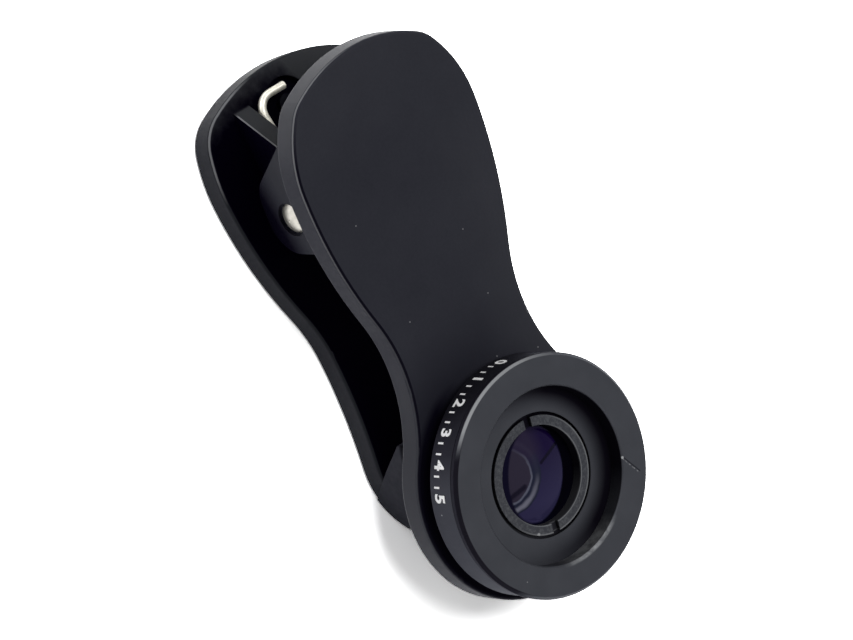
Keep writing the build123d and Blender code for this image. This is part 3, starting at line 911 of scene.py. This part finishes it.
wireSteel = steelMaterial("wireSteel", steel["wire"], steel["wireMetallic"])
whiteInk = inkMaterial("whiteInk")
innerMetal = metalMaterial("innerMetal", shade=anodised["innerShade"])
padRubber = rubberMaterial("padRubber", rubber["base"], rubber["light"])
finishes = {
    "back_jaw": plasticMaterial("backPlastic", backLook, backPaintedShade, backPaintedHighlight),
    "front_jaw": plasticMaterial("frontPlastic", frontLook, frontPaintedShade, frontPaintedHighlight),
    "back_pad": padRubber,
    "front_pad": padRubber,
    # a rubber washer whose near-black colour is painted shade in the neck gap
    "neck_washer": rubberMaterial("washerShadeRubber", rubber["washer"], rubber["washerLight"]),
    "lens_insert": innerMetal,
    "lens_barrel": metalMaterial("barrelMetal", barrelDeep),
    "front_ring": metalMaterial("ringMetal", ringDeep, ringBareAndHighlights),
    "retaining_ring": metalMaterial("retainerMetal", retainerDeep, retainerBareAndHighlights, retainerLook["shade"]),
    "glass_spacer": innerMetal,
    "aperture_stop": innerMetal,
    "hinge_rivet": steelMaterial("rivetSteel", steel["rivet"], steel["rivetMetallic"]),
    "front_glass": frontGlassMaterial("coatedGlass"),
    "rear_glass": rearGlassMaterial("rearGlass"),
}
for name, material in finishes.items():
    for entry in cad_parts[name].material_slots:
        entry.material = material
print("materials made")


# smooth-shaded mesh from points in millimetres
def meshPiece(name, points, faces, material):
    mesh = bpy.data.meshes.new(name)
    mesh.from_pydata((np.asarray(points) * mm).tolist(), [], faces)
    mesh.materials.append(material)
    mesh.polygons.foreach_set("use_smooth", [True] * len(mesh.polygons))
    mesh.update()
    piece = bpy.data.objects.new(name, mesh)
    bpy.context.scene.collection.objects.link(piece)
    return piece


spring = {
    "wire": 0.52,  # wire radius
    "coil": 2.7,  # radius of the wire's middle
    "turns": 5,  # full turns, besides the part turn between the legs
    "half": 4.5,  # half the coil's width
    "reach": 13.8,  # bent end of each leg, from the hinge
    "corner": 2.295,  # radius of each leg's bend
    "past": 0.1,  # the bent ends stop this far past the middle
    "low": -4.96,  # low leg's end below the hinge
    "high": 5.96,  # high leg's end above the hinge, square to the front jaw
    "step": 0.12,  # spacing of the path's points
    "bendPoints": 24,
    "around": 20,  # points round the wire
    "endRound": 0.12,
}


# straight stretch: points spaced evenly from a up to, but without, b
def straight(a, b):
    count = max(2, int(np.linalg.norm(b - a) / spring["step"]))
    return a + np.linspace(0, 1, count, endpoint=False)[:, None] * (b - a)


# leg from the coil to its bent end: a straight, a quarter circle at the corner and a short straight inwards
def bentLeg(start, corner, inward):
    run = (corner - start) / np.linalg.norm(corner - start)
    r = spring["corner"]
    bend = np.linspace(0, np.pi / 2, spring["bendPoints"], endpoint=False)[:, None]
    curve = corner - r * run + r * inward + r * (run * np.sin(bend) - inward * np.cos(bend))
    tip = corner + inward * (spring["half"] + spring["past"])
    return np.vstack([straight(start, corner - r * run), curve, straight(corner + r * inward, tip), tip])


# angle about the rivet where a leg leaves the coil: that of its end at height z, plus or minus the angle
# whose cosine is the coil's radius over the end's distance
def leavingAngle(z, side):
    away = np.hypot(spring["reach"], z)
    return np.arctan2(z, spring["reach"]) + side * np.arccos(spring["coil"] / away)


# middle of the wire: the high leg inwards to the coil, a helix about the rivet, then the low leg outwards
def springPath():
    low = leavingAngle(spring["low"], -1)
    high = leavingAngle(spring["high"], 1) + clip["restAngle"]
    turn = (low - high) % tau + tau * spring["turns"]
    angles = np.linspace(high, high + turn, int(spring["coil"] * turn / spring["step"]))
    across = np.linspace(-spring["half"], spring["half"], len(angles))
    helix = np.stack([spring["coil"] * np.cos(angles), across, spring["coil"] * np.sin(angles)], axis=1)
    highEnd = np.array([
        spring["reach"] * leanCos - spring["high"] * leanSin,
        -spring["half"],
        spring["reach"] * leanSin + spring["high"] * leanCos,
    ])
    lowEnd = np.array([spring["reach"], spring["half"], spring["low"]])
    highLeg = bentLeg(helix[0], highEnd, np.array([0, 1.0, 0]))
    lowLeg = bentLeg(helix[-1], lowEnd, np.array([0, -1.0, 0]))
    return np.vstack([highLeg[::-1], helix[1:-1], lowLeg]) + hinge


# round wire along a path: rings square to it in a frame carried along it, narrowed at both ends
def tube(path, radius, around, endRound):
    tangent = np.gradient(path, axis=0)
    tangent /= np.linalg.norm(tangent, axis=1)[:, None]
    side = np.cross(tangent[0], [0, 0, 1.0])
    sides = []
    for along in tangent:
        side = side - along * np.dot(side, along)
        side = side / np.linalg.norm(side)
        sides.append(side)
    sides = np.array(sides)
    ups = np.cross(tangent, sides)
    turn = np.linspace(0, tau, around, endpoint=False)[:, None]
    circles = np.cos(turn) * sides[:, None] + np.sin(turn) * ups[:, None]
    rings = path[:, None] + radius * circles
    first = path[:1, None] - endRound * tangent[0] + (radius - endRound) * circles[:1]
    last = path[-1:, None] + endRound * tangent[-1] + (radius - endRound) * circles[-1:]
    rings = np.concatenate([first, rings, last])
    index = np.arange(len(rings) * around).reshape(len(rings), around)
    nextAround = np.roll(index, -1, axis=1)
    walls = np.stack([index[:-1], nextAround[:-1], nextAround[1:], index[1:]], axis=-1).reshape(-1, 4)
    faces = walls.tolist() + [index[0][::-1].tolist(), index[-1].tolist()]
    return rings.reshape(-1, 3), faces


wirePoints, wireFaces = tube(springPath(), spring["wire"], spring["around"], spring["endRound"])
wirePiece = meshPiece("springWire", wirePoints, wireFaces, wireSteel)
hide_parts("torsion_spring")
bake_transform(wirePiece)
print("spring made")

scale = {
    "proud": 0.012,  # of the band
    "height": 1.85,  # figures
    "low": 2.3,  # their foot above the front jaw
    "bold": 0.035,  # share of their height added to each side of a stroke
    "tickHeight": 1.0,
    "tickWide": 0.24,
    "first": -5.0,  # degrees about the lens axis
    "step": 15.6,  # degrees from figure to figure
    "figures": "012345",
    "ticks": 2,  # between two figures
}


# flat points wrapped round the band: angle is the run divided by the radius
def onBand(flat):
    along, up = np.asarray(flat, float).T
    angle = along / barrelLook["band"]
    r = barrelLook["band"] + scale["proud"]
    return lensToPart(np.stack([r * np.cos(angle), r * np.sin(angle), up], axis=1))


# a figure of the plain built-in font as flat points and faces, centred on its width and scaled to its height
def figureMesh(text):
    curve = bpy.data.curves.new("figure", "FONT")
    curve.body = text
    curve.offset = scale["bold"]
    holder = bpy.data.objects.new("figure", curve)
    bpy.context.scene.collection.objects.link(holder)
    bpy.context.view_layer.update()
    mesh = holder.to_mesh()
    points = np.array([tuple(v.co)[:2] for v in mesh.vertices])
    faces = [tuple(p.vertices) for p in mesh.polygons]
    holder.to_mesh_clear()
    bpy.data.objects.remove(holder)
    bpy.data.curves.remove(curve)
    low, high = points.min(axis=0), points.max(axis=0)
    return (points - [(low[0] + high[0]) / 2, low[1]]) * scale["height"] / (high[1] - low[1]), faces


# figures at even angles with short ticks between them, wrapped round the band as one mesh
def scaleMarks():
    points = []
    faces = []

    # one more flat shape, its corners numbered on from the ones before
    def put(flat, polygons):
        faces.extend([len(points) + index for index in polygon] for polygon in polygons)
        points.extend(flat)

    run = np.radians(scale["step"]) * barrelLook["band"]
    start = np.radians(scale["first"]) * barrelLook["band"]
    half = scale["tickWide"] / 2
    tick = np.array([(-half, 0), (half, 0), (half, scale["tickHeight"]), (-half, scale["tickHeight"])])
    for place, figure in enumerate(scale["figures"]):
        centre = np.array([start + place * run, scale["low"]])
        flat, polygons = figureMesh(figure)
        put((flat + centre).tolist(), polygons)
        if place + 1 < len(scale["figures"]):
            for count in range(scale["ticks"]):
                along = np.array([run * (count + 1) / (scale["ticks"] + 1), 0])
                put((tick + centre + along).tolist(), [(0, 1, 2, 3)])
    return onBand(points), faces


markPoints, markFaces = scaleMarks()
marks = meshPiece("bandScale", markPoints, markFaces, whiteInk)
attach(marks, "lens")
print("scale made")

room = {
    "floorSize": 6.0,  # metres
    "floorDrop": 0.02,  # millimetres below the part
    "floorSeen": 3.6,  # brightness where the floor is seen
    "floorLit": 0.8,  # and where it only lights the part
    "world": 0.12,
    "middle": (-0.015, 0, 0.008),  # of the part, in metres
}


# 1 for rays from the camera, from a glossy reflection or through glass: these see the white background
def seenRays(tree):
    path = add(tree, "ShaderNodeLightPath").outputs
    return highest(tree, path["Is Camera Ray"], path["Is Glossy Ray"], path["Is Transmission Ray"])


# pale floor, brighter where it is seen, so that it is white and keeps the shadow
def floorMaterial():
    material, tree = newTree("floor")
    lit, seen = [(room[key],) * 3 + (1,) for key in ("floorLit", "floorSeen")]
    shader = add(tree, "ShaderNodeBsdfDiffuse", {"Color": mixColour(tree, seenRays(tree), lit, seen)})
    add(tree, "ShaderNodeOutputMaterial", {"Surface": shader.outputs[0]})
    return material


# one square face, just below the part
def makeFloor():
    half = room["floorSize"] / 2
    low = -room["floorDrop"] * mm
    corners = [(-half, -half, low), (half, -half, low), (half, half, low), (-half, half, low)]
    mesh = bpy.data.meshes.new("floor")
    mesh.from_pydata(corners, [], [(0, 1, 2, 3)])
    mesh.materials.append(floorMaterial())
    floor = bpy.data.objects.new("floor", mesh)
    bpy.context.scene.collection.objects.link(floor)


# dim even sky that lights the part, white where it is seen
def makeWorld():
    world = bpy.data.worlds.new("sky")
    world.use_nodes = True
    tree = world.node_tree
    tree.nodes.clear()
    strength = ramp(tree, seenRays(tree), 0.0, 1.0, room["world"], 1.0)
    sky = add(tree, "ShaderNodeBackground", {"Color": (1, 1, 1, 1), "Strength": strength})
    add(tree, "ShaderNodeOutputWorld", {"Surface": sky.outputs[0]})
    bpy.context.scene.world = world


# places and sizes in metres, powers in watts
lamps = [
    {"name": "key", "place": (0.22, -0.12, 0.95), "size": 0.6, "power": 8.0},
    {"name": "side", "place": (0.84, 0.42, 0.14), "size": 0.5, "power": 3.1},
    {"name": "lensSide", "place": (-0.75, 0.6, 0.2), "size": 0.6, "power": 2.1},
]


# soft square lamp aimed at the middle of the part
def makeLamp(lamp):
    data = bpy.data.lights.new(lamp["name"], "AREA")
    data.size = lamp["size"]
    data.energy = lamp["power"]
    holder = bpy.data.objects.new(lamp["name"], data)
    place = Vector(lamp["place"])
    holder.location = place
    holder.rotation_euler = (Vector(room["middle"]) - place).to_track_quat("-Z", "Y").to_euler()
    bpy.context.scene.collection.objects.link(holder)


camera = {
    "place": (0.08407, 0.323345, 0.513319),  # metres
    "turn": (7.81, -33.1541, -121.7921),  # degrees
    "focal": 211.02,  # millimetres, as is the sensor's width
    "sensor": 36.0,
    "nearest": 0.01,  # metres
    "farthest": 50.0,
}


# camera where the photo was taken from
def makeCamera():
    data = bpy.data.cameras.new("camera")
    data.lens = camera["focal"]
    data.sensor_width = camera["sensor"]
    data.clip_start = camera["nearest"]
    data.clip_end = camera["farthest"]
    holder = bpy.data.objects.new("camera", data)
    holder.location = camera["place"]
    holder.rotation_euler = Euler([np.radians(angle) for angle in camera["turn"]])
    bpy.context.scene.collection.objects.link(holder)
    bpy.context.scene.camera = holder


makeFloor()
makeWorld()
for lamp in lamps:
    makeLamp(lamp)
makeCamera()
bpy.context.scene.view_settings.view_transform = "Standard"
print("room made")
